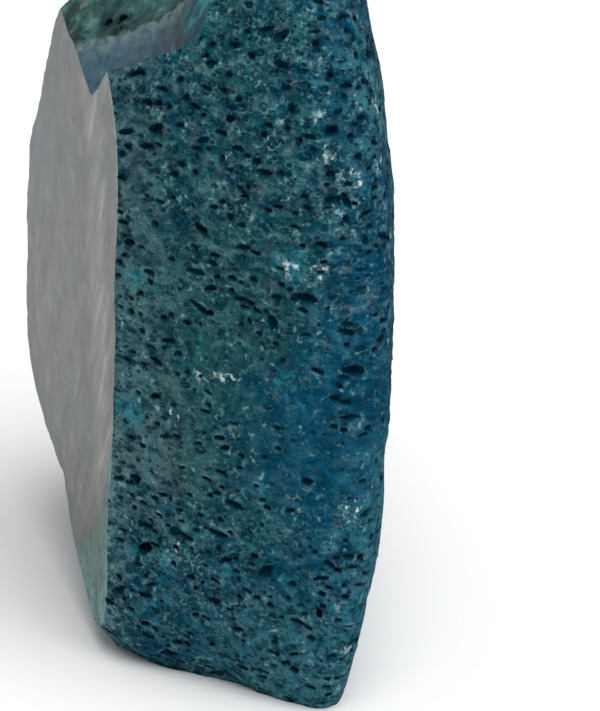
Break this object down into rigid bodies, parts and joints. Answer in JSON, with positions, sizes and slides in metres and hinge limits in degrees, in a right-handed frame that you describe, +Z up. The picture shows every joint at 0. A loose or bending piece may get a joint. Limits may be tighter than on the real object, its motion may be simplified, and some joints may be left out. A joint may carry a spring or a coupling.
{
  "type": "agate geode",
  "caption": "Standing sawn nodule of dyed agate: one polished flat face, porous teal-blue rind, a flat foot and a broken corner.",
  "frame": {"origin": "on the sawn foot, under the middle of the stone", "axes": "+Z up the standing stone, -Y out of the polished face, +X towards the near wall of the rind"},
  "size_m": [0.1104, 0.0526, 0.1288],
  "materials": {
    "dyed_rind": "matte"
  },
  "bodies": {
    "root": {"agate_geode": "dyed_rind"}
  },
  "joints": []
}
